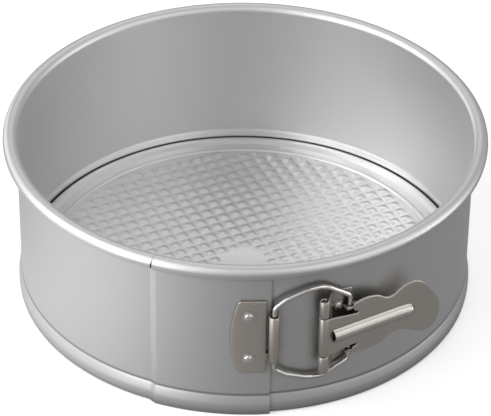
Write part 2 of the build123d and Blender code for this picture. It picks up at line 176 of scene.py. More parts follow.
def thicken(path, thickness):
    """Closed outline of a sheet whose middle follows a 2-D path."""
    left, right = [], []
    for i, point in enumerate(path):
        behind = path[max(i - 1, 0)]
        ahead = path[min(i + 1, len(path) - 1)]
        along = (ahead - behind).normalized()
        side = Vector((-along.y, along.x)) * (thickness / 2)
        left.append(point + side)
        right.append(point - side)
    return left + right[::-1]


def new_object(name, vertices, faces, sharp=radians(40)):
    """Mesh object from vertices in millimetres, smooth but for edges over an angle."""
    mesh = bpy.data.meshes.new(name)
    mesh.from_pydata([tuple(c * MM for c in v) for v in vertices], [], faces)
    mesh.validate()
    work = bmesh.new()
    work.from_mesh(mesh)
    bmesh.ops.recalc_face_normals(work, faces=work.faces)
    work.to_mesh(mesh)
    work.free()
    mesh.shade_smooth()
    mesh.set_sharp_from_angle(angle=sharp)
    thing = bpy.data.objects.new(name, mesh)
    bpy.context.scene.collection.objects.link(thing)
    return thing


def skin(loops, vertices, faces):
    """Adds a tube through closed loops of as many points each, with both ends capped."""
    start = len(vertices)
    count = len(loops[0])
    for loop in loops:
        vertices += loop
    for ring in range(len(loops) - 1):
        for k in range(count):
            a = start + ring * count + k
            b = start + ring * count + (k + 1) % count
            faces.append((a, b, b + count, a + count))
    for ring in (0, len(loops) - 1):
        first = start + ring * count
        for k in range(count // 2 - 1):
            faces.append((first + k, first + k + 1, first + count - 2 - k, first + count - 1 - k))


def lathe(loop_at, azimuths, vertices, faces):
    """Adds a closed cross-section carried round the pan; loop_at(azimuth) gives its
    (radius, height) points."""
    skin([[around(a, p[0], p[1]) for p in loop_at(a)] for a in azimuths], vertices, faces)


def spoke(side_a, side_b, radius, share):
    """Vector of a radius at a share of a full turn from side_a towards side_b."""
    turn = 2 * pi * share
    return side_a * (radius * cos(turn)) + side_b * (radius * sin(turn))


def turned(profile, centre, side_a, side_b, vertices, faces, axis=Vector((0, 0, 1))):
    """Adds a turned solid: (radius, height) points carried round an axis at a centre."""
    sides = 32
    loops = []
    for radius, height in profile:
        middle = centre + axis * height
        loops.append([middle + spoke(side_a, side_b, radius, k / sides) for k in range(sides)])
    skin(loops, vertices, faces)


def rolled_sheet(path, thickness, low, high, vertices, faces):
    """Adds a sheet bent along a path seen from above, between two heights over the
    latch's centre line, with softened upper and lower edges."""
    soft = 0.22
    levels = [(low, 2 * soft), (low + soft / 3, soft), (low + soft, 0)]
    levels += [(high - soft, 0), (high - soft / 3, soft), (high, 2 * soft)]
    loops = []
    for height, thinned in levels:
        outline = thicken(path, thickness - thinned)
        loops.append([Vector((p.x, p.y, LATCH_Z + height)) for p in outline])
    skin(loops, vertices, faces)


def inset(outline, distance):
    """A closed anticlockwise outline moved inwards."""
    moved = []
    for i, point in enumerate(outline):
        before = (point - outline[i - 1]).normalized()
        after = (outline[(i + 1) % len(outline)] - point).normalized()
        normal = Vector((-before.y - after.y, before.x + after.x))
        bend = max(0.35, normal.length / 2)
        moved.append(point + normal.normalized() * (distance / bend))
    return moved


def anticlockwise(outline):
    """The closed outline, turned round if it runs clockwise."""
    area = sum(a.cross(b) for a, b in zip(outline, outline[1:] + outline[:1]))
    return list(outline) if area > 0 else list(reversed(outline))


def is_inside(point, outline):
    """Whether a point is inside a closed outline."""
    inside = False
    for a, b in zip(outline, outline[1:] + outline[:1]):
        if (a.y > point.y) != (b.y > point.y):
            if point.x < a.x + (b.x - a.x) * (point.y - a.y) / (b.y - a.y):
                inside = not inside
    return inside


def filled(outline, spacing):
    """Points and triangles that fill an outline; the outline's own points come first,
    and a grid inside lets the sheet be bent."""
    low = Vector((min(p.x for p in outline), min(p.y for p in outline)))
    high = Vector((max(p.x for p in outline), max(p.y for p in outline)))
    core = inset(outline, spacing * 0.4)
    points = list(outline)
    for i in range(1, ceil((high.x - low.x) / spacing)):
        for j in range(1, ceil((high.y - low.y) / spacing)):
            spot = low + Vector((i, j)) * spacing
            if is_inside(spot, core):
                points.append(spot)
    edges = [(k, (k + 1) % len(outline)) for k in range(len(outline))]
    places, _, triangles, sources, _, _ = delaunay_2d_cdt(points, edges, [], 1, 1e-5)
    number = {}
    for k, source in enumerate(sources):
        number[k] = source[0] if source else len(points)
        if not source:
            points.append(places[k])
    return points, [tuple(number[k] for k in triangle) for triangle in triangles]


def sheet_solid(outline, thickness, place, vertices, faces, edge=EDGE, spacing=1.6):
    """Adds a pressed sheet: a flat outline given a thickness and rounded edges, carried
    to its place by place(u, v, w), where w is the height over the sheet's middle."""
    outline = anticlockwise(outline)
    half = thickness / 2
    steps = 3
    arcs = [radians(90 * k / steps) for k in range(steps + 1)]
    levels = [(edge * (1 - cos(a)), half - edge + edge * sin(a)) for a in arcs]
    levels = [(i, -w) for i, w in reversed(levels)] + levels
    start = len(vertices)
    count = len(outline)
    for inward, w in levels:
        vertices += [place(p.x, p.y, w) for p in inset(outline, inward)]
    for ring in range(len(levels) - 1):
        for k in range(count):
            a, b = start + ring * count + k, start + ring * count + (k + 1) % count
            faces.append((a, b, b + count, a + count))
    points, triangles = filled(inset(outline, edge), spacing)
    for w, ring in ((-half, 0), (half, len(levels) - 1)):
        first = len(vertices)
        vertices += [place(p.x, p.y, w) for p in points[count:]]
        on_edge, inside = start + ring * count, first - count
        for triangle in triangles:
            faces.append(tuple(k + (on_edge if k < count else inside) for k in triangle))


def azimuth_steps(low, high, step):
    """Evenly spaced azimuths from low to high."""
    count = max(1, ceil((high - low) / step))
    return [low + (high - low) * k / count for k in range(count + 1)]


# ---------------------------------------------------------------------------- side band
def bead(z):
    """How far the bottom bead stands out from the wall at a height: a small dent at the
    crease, a sloping shoulder, and a foot that is tucked in a little."""
    rise = min(1.0, max(0.0, (BEAD_TOP - z) / (BEAD_TOP - BEAD_MIDDLE)))
    tuck = max(0.0, 1 - z / BEAD_TUCK_TOP)
    dent = exp(-(((z - BEAD_TOP - 0.2) / 0.6) ** 2))
    return BEAD_DEPTH * (1 - (1 - rise) ** 1.25) - BEAD_TUCK * tuck * tuck - 0.1 * dent


def wall_path(lip, top):
    """Middle of the band's sheet from the bottom lip up the wall; lip is the lip's inner
    radius, or None for the outer layer, which has no lip."""
    middle = INNER_RADIUS + SHEET / 2
    foot_z, steps = 1.4, 26
    heights = [foot_z + (BEAD_TOP + 1.6 - foot_z) * k / steps for k in range(steps + 1)]
    rising = [Vector((middle + bead(z), z)) for z in heights]
    if lip is None:
        foot = [Vector((middle + bead(foot_z) - 0.1, 0.1))]
    else:
        foot = rounded([(lip, SHEET / 2), (middle + bead(0.6), SHEET / 2), rising[0]], [0.9])[:-1]
    return foot + rising + [Vector((middle, top))]


def rim_path(azimuth):
    """Middle of the sheet round the rolled rim, from the wall's top over and back under.
    From the seam to the end of the outer layer the roll is a little deeper, because it is
    slipped over the other end's roll."""
    fuller = rim_swell(azimuth)
    wide = RIM_HALF_WIDTH - SHEET / 2
    tall = RIM_HALF_HEIGHT - SHEET / 2
    points = []
    steps = 40
    for k in range(steps + 1):
        angle = radians(180 - RIM_ROLL_TURN * k / steps)
        sag = fuller if sin(angle) < 0 else 0.0
        r = RIM_CENTRE_RADIUS + wide * cos(angle)
        points.append(Vector((r, RIM_CENTRE_Z + (tall + sag) * sin(angle))))
    return points


def rim_swell(azimuth):
    """Extra depth of the roll at an azimuth."""
    if RIM_START - 0.1 < azimuth < 90:
        fade = smooth_step(OUTER_END, OUTER_END + RIM_EXTRA_FADE, azimuth)
        return RIM_EXTRA_DEPTH * (1 - fade)
    return 0.0


def band_loop(azimuth):
    """The wall with its bead, lip and rolled rim. Inside, the bead is shallower."""
    path = wall_path(INNER_RADIUS - LIP_WIDTH, RIM_CENTRE_Z - 0.3) + rim_path(azimuth)
    loop = thicken(path, SHEET)
    for i, point in enumerate(loop):
        if 1.0 < point.y < BEAD_TOP + 1.5 and i < len(path):
            depth = BEAD_INNER_DEPTH * smooth_step(BEAD_TOP, BEAD_TOP - 3, point.y)
            loop[i] = Vector((INNER_RADIUS + depth, point.y))
    return loop


def rim_end_loop(azimuth):
    """The rim over the seam's outward step, with the top of the wall under it."""
    middle = INNER_RADIUS + SHEET / 2
    return thicken([Vector((middle, OUTER_LAYER_TOP - 2))] + rim_path(azimuth), SHEET)


def outer_layer_loop(azimuth):
    """The band's outer end, which steps out over its inner end; it has no lip or rim."""
    share = min(1.0, (azimuth - SEAM_START) / (SEAM_STEPPED - SEAM_START))
    step = LAYER_STEP * (share + smooth_step(SEAM_START, SEAM_STEPPED, azimuth)) / 2
    return [p + Vector((step, 0)) for p in thicken(wall_path(None, OUTER_LAYER_TOP), SHEET)]


def build_side_band():
    """The strip with its rim, the rim's end over the seam, and the outer layer."""
    vertices, faces = [], []
    lathe(band_loop, azimuth_steps(RIM_START, SEAM_START + 360, 0.75), vertices, faces)
    rim_end = [
        [around(azimuth, p.x, p.y) for p in rim_end_loop(azimuth)]
        for azimuth in azimuth_steps(SEAM_START, RIM_END, 0.5)
    ]
    # the roll's end is cut at a slant and nearly meets the other end at the top
    rim_end[-1] = [
        around(RIM_END + RIM_SLANT * smooth_step(RIM_CENTRE_Z, PAN_HEIGHT, p.y), p.x, p.y)
        for p in rim_end_loop(RIM_END)
    ]
    skin(rim_end, vertices, faces)
    joggle = azimuth_steps(SEAM_START, SEAM_STEPPED, 0.1)
    overlap = azimuth_steps(SEAM_STEPPED, OUTER_END, 0.5)
    lathe(outer_layer_loop, joggle + overlap[1:], vertices, faces)
    return new_object("side_band_sheet", vertices, faces)


# ----------------------------------------------------------------------------- base
BASE_SHEET = 0.8
FIELD_Z = 5.1                    # height of the sheet between the waffle pads
FIELD_RADIUS = 90.2
PAD_PITCH = 6.0
PAD_TURN = 25                    # degrees the pattern is turned against the latch
MEDALLION_RADIUS = 10.4          # the plain round patch in the middle
# half-side and height of each level of a waffle pad, from its foot to its top
PAD_LEVELS = [(2.85, 0.0), (2.2, 0.18), (1.4, 0.51), (0.55, 0.74)]
PAD_CORNER = 0.35                # share of a pad's half-side cut off at its corners
RING_SEGMENTS = 480


def pad_ring(half):
    """Corner points of one level of a pad: a square with cut corners."""
    cut = half * (1 - PAD_CORNER)
    octagon = [(half, cut), (cut, half), (-cut, half), (-half, cut)]
    return octagon + [(-x, -y) for x, y in octagon]


def pad_places():
    """Middle and size share of each pad: full pads in the field, smaller and fainter
    ones where the ridge cuts the pattern off, none on the smooth middle patch."""
    turn = radians(PAD_TURN)
    reach = int(FIELD_RADIUS // PAD_PITCH) + 1
    foot = PAD_LEVELS[0][0]
    places = []
    for i in range(-reach, reach + 1):
        for j in range(-reach, reach + 1):
            x = PAD_PITCH * (i * cos(turn) - j * sin(turn))
            y = PAD_PITCH * (i * sin(turn) + j * cos(turn))
            distance = hypot(x, y)
            room = min(FIELD_RADIUS - 0.2 - distance, distance - MEDALLION_RADIUS) / foot
            if room > 0.25:
                places.append((x, y, min(1.0, room)))
    return places


def base_edge_path():
    """Top surface of the base from the waffle field outwards and down the skirt."""
    ridge = [(90.6, FIELD_Z), (91.6, 5.9), (92.7, 4.9)]
    channel_end = (96.9, 4.85)
    shoulder = (98.9, 6.05)
    skirt = [(base_high.x, base_high.z), (base_high.x, base_low.z)]
    corners = [(FIELD_RADIUS, FIELD_Z), *ridge, channel_end, shoulder, *skirt]
    return rounded(corners, [0.4, 0.75, 0.7, 1.6, 1.6, 0.3])


def inward_offset(path, thickness):
    """The path moved to the side under it by a thickness."""
    moved = []
    for i, point in enumerate(path):
        along = (path[min(i + 1, len(path) - 1)] - path[max(i - 1, 0)]).normalized()
        moved.append(point + Vector((along.y, -along.x)) * thickness)
    return moved


def pad_point(x, y, u, v):
    """Where a pad's own point (u, v) is, for a pad in the turned pattern at (x, y)."""
    turn = radians(PAD_TURN)
    return Vector((x + u * cos(turn) - v * sin(turn), y + u * sin(turn) + v * cos(turn)))


def build_base():
    """The waffle field, its underside one sheet lower, and the pressed edge round it."""
    flat, polygons, pads = [], [], []
    for k in range(RING_SEGMENTS):
        rim = around(360 * k / RING_SEGMENTS, FIELD_RADIUS)
        flat.append(Vector((rim.x, rim.y)))
    for x, y, share in pad_places():
        first = len(flat)
        for u, v in pad_ring(PAD_LEVELS[0][0] * share):
            flat.append(pad_point(x, y, u, v))
        polygons.append(list(range(first, first + 8)))
        pads.append((x, y, share, first))
    rim_edges = [(k, (k + 1) % RING_SEGMENTS) for k in range(RING_SEGMENTS)]
    points, _, triangles, _, _, owners = delaunay_2d_cdt(flat, rim_edges, polygons, 0, 1e-4)
    vertices = [Vector((p.x, p.y, FIELD_Z)) for p in points]
    faces = [tuple(t) for t, owner in zip(triangles, owners) if not owner]
    for x, y, share, first in pads:
        below = list(range(first, first + 8))
        for half, height in PAD_LEVELS[1:]:
            level = []
            for u, v in pad_ring(half * share):
                level.append(len(vertices))
                vertices.append(Vector((*pad_point(x, y, u, v), FIELD_Z + height * share)))
            for k in range(8):
                n = (k + 1) % 8
                faces.append((below[k], below[n], level[n], level[k]))
            below = level
        faces.append(tuple(below))
    # underside of the field: the same stamped shape, one sheet lower
    top_count = len(vertices)
    vertices += [v - Vector((0, 0, BASE_SHEET)) for v in vertices]
    faces += [tuple(top_count + k for k in reversed(face)) for face in faces]
    # edge: from the field's rim out, down the skirt and back underneath
    path = base_edge_path()
    under = inward_offset(path, BASE_SHEET)
    under[0] = Vector((FIELD_RADIUS, FIELD_Z - BASE_SHEET))
    loop = path[1:] + under[:0:-1]
    ring_start = len(vertices)
    for k in range(RING_SEGMENTS):
        vertices += [around(360 * k / RING_SEGMENTS, p.x, p.y) for p in loop]
    count = len(loop)
    for k in range(RING_SEGMENTS):
        n = (k + 1) % RING_SEGMENTS
        here, there = ring_start + k * count, ring_start + n * count
        faces.append((k, n, there, here))
        for m in range(count - 1):
            faces.append((here + m, there + m, there + m + 1, here + m + 1))
        faces.append((here + count - 1, there + count - 1, top_count + n, top_count + k))
    return new_object("base_sheet", vertices, faces, sharp=radians(60))


# ----------------------------------------------------------------------- catch and bracket
def on_wall(azimuth, radius):
    """Carries plate coordinates (along the wall, up, out) onto the round wall."""

    def place(u, v, w):
        return around(azimuth + degrees(u / radius), radius + w, LATCH_Z + v)

    return place


def bowed_outline(corner, bow, near, side):
    """Plate outline: square corners by the latch, and a bowed far edge on a side (+1 or
    -1) with rounded corners."""
    points = [(-side * near, -PLATE_HALF_HEIGHT), (side * corner, -PLATE_HALF_HEIGHT)]
    arc_steps = 14
    for k in range(1, arc_steps):
        share = 2 * k / arc_steps - 1
        out = corner + (bow - corner) * (1 - share * share)
        points.append((side * out, share * PLATE_HALF_HEIGHT))
    points += [(side * corner, PLATE_HALF_HEIGHT), (-side * near, PLATE_HALF_HEIGHT)]
    closed = [((points[0][0] + points[-1][0]) / 2, 0)] + points + [(points[0][0], 0)]
    radii = [0.5, 1.3] + [0] * (arc_steps - 1) + [1.3, 0.5]
    return rounded(closed, radii, 5)[:-1]


def build_catch_plate():
    """The riveted plate, its barrel round the wire, and the tab that joins them."""
    vertices, faces = [], []
    sheet_solid(
        bowed_outline(4.3, 7.6, 7.5, -1),
        STEEL,
        on_wall(CATCH_AZIMUTH, OVERLAP_RADIUS + STEEL / 2),
        vertices,
        faces,
    )
    # the barrel curls round the wire; a slit parts it from the plate but for a tab below
    across = around(barrel_azimuth + 90, 1)
    outward = around(barrel_azimuth, 1)
    middle = BARREL_RADIUS - BARREL_SHEET / 2
    path = [barrel_place - across * 1.5 - outward * middle]
    steps = 32
    for k in range(steps + 1):
        turn = radians(-90 + 282 * k / steps)
        path.append(barrel_place + (across * cos(turn) + outward * sin(turn)) * middle)
    flat = [Vector((p.x, p.y)) for p in path]
    rolled_sheet(flat, BARREL_SHEET, -BARREL_HALF_HEIGHT, BARREL_HALF_HEIGHT, vertices, faces)
    left, right, low, high = 6, 9.2, -12, -8.4
    corners = [(left, -10), (left, low), (right, low), (right, high), (left, high), (left, -10)]
    tab = rounded(corners, [0.5] * 4, 3)
    sheet_solid(
        tab[:-1], STEEL, on_wall(CATCH_AZIMUTH, OVERLAP_RADIUS + STEEL / 2), vertices, faces
    )
    return new_object("catch_plate_pressed", vertices, faces)


def build_bracket():
    """The riveted plate under the lever and its two knuckles round the pin."""
    vertices, faces = [], []
    sheet_solid(
        bowed_outline(6.2, 9.0, 2.9, 1),
        STEEL,
        on_wall(BRACKET_AZIMUTH, WALL_RADIUS + STEEL / 2),
        vertices,
        faces,
    )
    root = around(BRACKET_AZIMUTH - degrees(2.6 / WALL_RADIUS), WALL_RADIUS + STEEL / 2)
    to_root = Vector((root.x - hinge_place.x, root.y - hinge_place.y))
    middle = KNUCKLE_RADIUS - LEVER_SHEET / 2
    first = atan2(to_root.y, to_root.x) - acos(middle / to_root.length)
    path = [Vector((root.x, root.y))] + round_hinge(first, middle)
    near = LEVER_ROLL_HALF_HEIGHT + KNUCKLE_GAP
    rolled_sheet(path, LEVER_SHEET, near, KNUCKLE_HALF_HEIGHT, vertices, faces)
    rolled_sheet(path, LEVER_SHEET, -KNUCKLE_HALF_HEIGHT, -near, vertices, faces)
    return new_object("lever_bracket_pressed", vertices, faces)


def round_hinge(first, radius):
    """Path of a sheet's middle round the hinge pin, clockwise from an angle."""
    path = []
    steps = 30
    for k in range(steps + 1):
        turn = first - radians(300) * k / steps
        x = hinge_place.x + radius * cos(turn)
        y = hinge_place.y + radius * sin(turn)
        path.append(Vector((x, y)))
    return path


def build_pin():
    """Hinge pin, a little short of the knuckles, with rounded ends."""
    profile = [(0.3, 0.0), (0.75, 0.12), (0.98, 0.42), (PIN_RADIUS, 0.8)]
    height = KNUCKLE_HALF_HEIGHT - 0.7
    ends = [(r, -height + z) for r, z in profile] + [(r, height - z) for r, z in reversed(profile)]
    vertices, faces = [], []
    turned(ends, hinge_place, Vector((1, 0, 0)), Vector((0, 1, 0)), vertices, faces)
    return new_object("hinge_pin_turned", vertices, faces)


def build_rivets(name, azimuth, seat, grip):
    """Two rivets: a thin flange on the plate, a dome with a small dimple, and a flat
    head inside the band."""
    profile = [(2.4, -grip - 0.15), (2.55, -grip - 0.05), (1.6, -grip), (1.6, -0.05)]
    profile += [(2.72, 0.0), (2.86, 0.12), (2.8, 0.3), (2.5, 0.4), (2.22, 0.34)]
    dome_radius, dome_foot, dome_height = 2.08, 0.36, 0.94
    dimple = [(0.42, 1.27), (0.2, 1.16)]
    for degree in range(0, 73, 9):
        turn = radians(degree)
        profile.append((dome_radius * cos(turn), dome_foot + dome_height * sin(turn)))
    profile += dimple
    vertices, faces = [], []
    for side in (1, -1):
        centre = around(azimuth, seat, LATCH_Z + side * RIVET_HALF_PITCH)
        turned(
            profile,
            centre,
            around(azimuth + 90, 1),
            Vector((0, 0, 1)),
            vertices,
            faces,
            around(azimuth, 1),
        )
    return new_object(name, vertices, faces)


# ------------------------------------------------------------------------ lever and wire
def on_lever(u, v, w):
    """Carries lever coordinates (along from the hinge, up, out) to their place; the
    paddle is bent outwards past the flare's start."""
    past = u - FLARE_START
    if past < -FLARE_BEND:
        bent = 0.0
    elif past > FLARE_BEND:
        bent = past
    else:
        bent = (past + FLARE_BEND) ** 2 / (4 * FLARE_BEND)
    out = KNUCKLE_RADIUS - LEVER_SHEET / 2 - 0.05 + w + bent * FLARE_SLOPE
    place = hinge_place + LEVER_ALONG * u + LEVER_OUTWARD * out
    return Vector((place.x, place.y, LATCH_Z + v))


def on_ear(height):
    """Carries ear coordinates (along the lever, panwards, up) to their place."""

    def place(u, v, w):
        spot = hinge_place + LEVER_ALONG * u - LEVER_OUTWARD * v
        return Vector((spot.x, spot.y, LATCH_Z + height + w))

    return place


def lever_outline():
    """A tapering tongue from the hinge, a head notched above and below the tongue, a
    waist and a round paddle."""
    tongue = [(-0.3, 10.0), (15.4, 7.9), (16.4, 8.5), (15.6, 9.2), (13.9, 9.9), (13.4, 12.2)]
    top = [(13.6, 13.2), (16.6, 14.1), (20.5, 14.4), (26.0, 13.3), (30.4, 10.6), (33.8, 10.6)]
    top += [(38.0, 13.0), (42.6, 14.6), (46.8, 13.7), (50.4, 10.4), (53.4, 6.2), (56.0, 2.2)]
    bottom = [(LEVER_LENGTH, -3.4), (56.0, -8.4), (53.6, -12.6), (49.8, -13.8), (45.0, -12.4)]
    bottom += [(39.0, -9.6), (33.5, -9.5), (27.8, -12.5), (22.0, -13.5), (16.6, -13.3)]
    bottom.append((13.7, -12.8))
    edge = smooth_through([Vector(p) for p in top + bottom], 4)
    upper = rounded(tongue, [0.4, 0.5, 0.5, 0.8], 4)
    lower = [Vector((p.x, -p.y)) for p in reversed(upper)]
    return upper + edge + lower


def smooth_through(points, steps):
    """Catmull-Rom curve through points."""
    curve = []
    for i in range(len(points) - 1):
        before = points[max(i - 1, 0)]
        here, there = points[i], points[i + 1]
        after = points[min(i + 2, len(points) - 1)]
        for k in range(steps):
            t = k / steps
            curve.append(
                here
                + (there - before) * (0.5 * t)
                + (before * 2 - here * 5 + there * 4 - after) * (0.5 * t * t)
                + (here * 3 - before - there * 3 + after) * (0.5 * t**3)
            )
    curve.append(points[-1])
    return curve


def rib_loop(share):
    """Cross-section of the hollow half-round rib, drawn in to a share of its size."""
    foot_width, foot_height = 0.55, 0.1
    outer, inner = [(-RIB_RADIUS - foot_width, foot_height)], []
    steps = 16
    for k in range(steps + 1):
        turn = radians(168 - 156 * k / steps)
        outer.append((RIB_RADIUS * cos(turn), 0.45 + RIB_HEIGHT * sin(turn)))
    outer.append((RIB_RADIUS + foot_width, foot_height))
    steps = 18
    for k in range(steps + 1):
        turn = radians(180 - 180 * k / steps)
        inner.append(((RIB_RADIUS - 0.7) * cos(turn), (RIB_HEIGHT - 0.25) * sin(turn)))
    return [(v * share, w * share) for v, w in outer + inner[::-1]]


def build_lever():
    """The pressed lever: its face, the hollow rib, the roll round the pin, two ears."""
    vertices, faces = [], []
    sheet_solid(lever_outline(), LEVER_SHEET, on_lever, vertices, faces)
    # rib, open towards the hinge and round at its far end
    shoulder = RIB_END - RIB_RADIUS
    stations = [(RIB_START + (shoulder - RIB_START) * k / 12, 1.0) for k in range(13)]
    for turn in range(15, 90, 15):
        stations.append((shoulder + RIB_RADIUS * sin(radians(turn)), cos(radians(turn))))
    stations.append((RIB_END, 0.04))
    first_rib_face = len(faces)
    rib = []
    for u, share in stations:
        rib.append([on_lever(u, v, w + RIB_SEAT) for v, w in rib_loop(share)])
    skin(rib, vertices, faces)
    rib_faces = range(first_rib_face, len(faces))
    # roll round the pin
    middle = KNUCKLE_RADIUS - LEVER_SHEET / 2
    start = hinge_place + LEVER_ALONG * 1.2 + LEVER_OUTWARD * (middle - 0.02)
    first = atan2(LEVER_OUTWARD.y, LEVER_OUTWARD.x)
    path = [Vector((start.x, start.y))] + round_hinge(first, middle)
    low, high = -LEVER_ROLL_HALF_HEIGHT, LEVER_ROLL_HALF_HEIGHT
    rolled_sheet(path, LEVER_SHEET, low, high, vertices, faces)
    # ears above and below, each notched towards the pan round the wire's leg
    notch_turn = atan2(3.2, -0.9)
    hole = []
    steps = 10
    for k in range(steps + 1):
        turn = notch_turn - pi / 2 - pi * k / steps
        hole.append(EAR_LEG + Vector((cos(turn), sin(turn))) * NOTCH_RADIUS)
    ear = [(10.4, -1.8), (18.5, -1.8), (18.5, -0.7), (15.9, 1.9), (13.9, 1.9)]
    ear = [Vector(p) for p in ear] + hole + [Vector((11.3, 1.9)), Vector((10.4, 1.9))]
    for height in (EAR_HEIGHT, -EAR_HEIGHT):
        sheet_solid(ear, LEVER_SHEET, on_ear(height), vertices, faces, edge=0.15)
    lever = new_object("lever_pressed", vertices, faces)
    # the rib takes the lever's second material, a brighter copy of the plating that paints its
    # highlight
    for index in rib_faces:
        lever.data.polygons[index].material_index = 1
    return lever


def build_wire():
    """The bail: a leg in the barrel, a bent arm above and below, and two short ends that
    hook into the lever's ears."""
    leg = hinge_place + LEVER_ALONG * EAR_LEG.x - LEVER_OUTWARD * EAR_LEG.y
    span = Vector((leg.x - barrel_place.x, leg.y - barrel_place.y, 0))
    reach = span.length
    span.normalize()
    normal = span.cross(Vector((0, 0, 1)))
    upper = [(0, 16.3), (5.0, 19.9), (14.5, 23.3), (22.0, 24.0), (reach, 17.0), (reach, 9.9)]
    corners = [(x, -z) for x, z in reversed(upper)] + upper
    path = rounded(corners, [2.4, 8, 14, 8, 3, 3, 8, 14, 8, 2.4], 10)
    sides = 20
    loops = []
    for i, p in enumerate(path):
        along = (path[min(i + 1, len(path) - 1)] - path[max(i - 1, 0)]).normalized()
        side = span * -along.y + Vector((0, 0, along.x))
        centre = barrel_place + span * p.x
        centre.z = LATCH_Z + p.y
        loops.append([centre + spoke(side, normal, WIRE_RADIUS, k / sides) for k in range(sides)])
    vertices, faces = [], []
    skin(loops, vertices, faces)
    return new_object("bail_wire_drawn", vertices, faces)


# ---------------------------------------------------------------------------- materials
FLOOR_LIGHT_AZIMUTH = -65       # the side of the floor that the pan mirrors brightest
FLOOR_GLOW = 0.24               # how bright the pan mirrors the floor all round
FLOOR_LEFT_GLOW = 0.545         # how much brighter on that side
FLOOR_FOOT_GLOW = 0.75          # share of the glow left right by the pan's foot: a painted shadow
FLOOR_FOOT_REACH = 0.012        # metres over which the rest comes back
FLOOR_EMISSION = 0.38           # keeps the paper near white to the camera


class Nodes:
    """Small helper to build a node material from its Principled shader outwards."""

    def __init__(self, name):
        self.material = bpy.data.materials.new(name)
        self.material.use_nodes = True
        self.tree = self.material.node_tree
        self.shader = self.tree.nodes["Principled BSDF"]

    def add(self, kind, inputs=None, **settings):
        """A new node with its settings, and with its inputs set or linked."""
        node = self.tree.nodes.new(kind)
        for key, value in settings.items():
            setattr(node, key, value)
        for key, value in (inputs or {}).items():
            self.set(node, key, value)
        return node

    def set(self, node, key, value):
        """Links an input to a socket, or gives it a plain value."""
        if isinstance(value, bpy.types.NodeSocket):
            self.tree.links.new(value, node.inputs[key])
        else:
            node.inputs[key].default_value = value

    def noise(self, scale, detail, coordinates):
        """Noise from 0 to 1 of a scale, at the coordinates."""
        inputs = {"Vector": coordinates, "Scale": scale, "Detail": detail}
        return self.add("ShaderNodeTexNoise", inputs).outputs["Fac"]

    def mix_colour(self, factor, first, second):
        """The first colour at factor 0, the second at factor 1."""
        inputs = {0: factor, 6: first, 7: second}
        return self.add("ShaderNodeMix", inputs, data_type="RGBA").outputs[2]

    def calculate(self, operation, first, second):
        """The result of a maths node."""
        return self.add("ShaderNodeMath", {0: first, 1: second}, operation=operation).outputs[0]

    def spread(self, value, low, high):
        """The 0..1 value moved to run from low to high."""
        limits = {"Value": value, "To Min": low, "To Max": high}
        return self.add("ShaderNodeMapRange", limits).outputs["Result"]

    def openness(self, reach, closed, open_air):
        """0 in crevices, 1 in the open, judged over a reach in metres."""
        around_it = self.add("ShaderNodeAmbientOcclusion", {"Distance": reach}, samples=8)
        limits = {"Value": around_it.outputs["AO"], "From Min": closed, "From Max": open_air}
        return self.add("ShaderNodeMapRange", limits).outputs["Result"]

    def is_outside(self, place):
        """1 on the outer face of the band, 0 on its inner face."""
        flat = self.add("ShaderNodeVectorMath", {0: place, 1: (1, 1, 0)}, operation="MULTIPLY")
        reach = self.add("ShaderNodeVectorMath", {0: flat.outputs[0]}, operation="LENGTH")
        return self.calculate("GREATER_THAN", reach.outputs["Value"], (INNER_RADIUS + 0.5) * MM)

    def height_fade(self, place, full_z, gone_z):
        """1 at one height in millimetres, fading to 0 at another."""
        height = self.add("ShaderNodeSeparateXYZ", {"Vector": place}).outputs["Z"]
        limits = {"Value": height, "From Min": gone_z * MM, "From Max": full_z * MM}
        fade = self.add("ShaderNodeMapRange", limits, interpolation_type="SMOOTHSTEP")
        return fade.outputs["Result"]

    def crease(self, place):
        """Where painted shade goes: 1 along the crease over the band's bottom bead, outside,
        fading to 0 beside it.
        """
        over = self.height_fade(place, BEAD_TOP + 0.2, BEAD_TOP + 1.7)
        under = self.height_fade(place, BEAD_TOP + 0.2, BEAD_TOP - 0.7)
        line = self.calculate("MULTIPLY", over, under)
        return self.calculate("MULTIPLY", line, self.is_outside(place))

    def bead_sheen_ring(self, place):
        """Where the painted sheen goes: 1 on the inside of the band's bottom bead, 0 elsewhere."""
        inside = self.calculate("SUBTRACT", 1.0, self.is_outside(place))
        low = self.height_fade(place, BEAD_TOP + 0.6, BEAD_TOP + 1.8)
        return self.calculate("MULTIPLY", inside, low)


def grey(value, warm=0.0):
    """A linear colour of a brightness, a little warmer than neutral if asked."""
    return (value * (1 + warm), value, value * (1 - warm), 1)


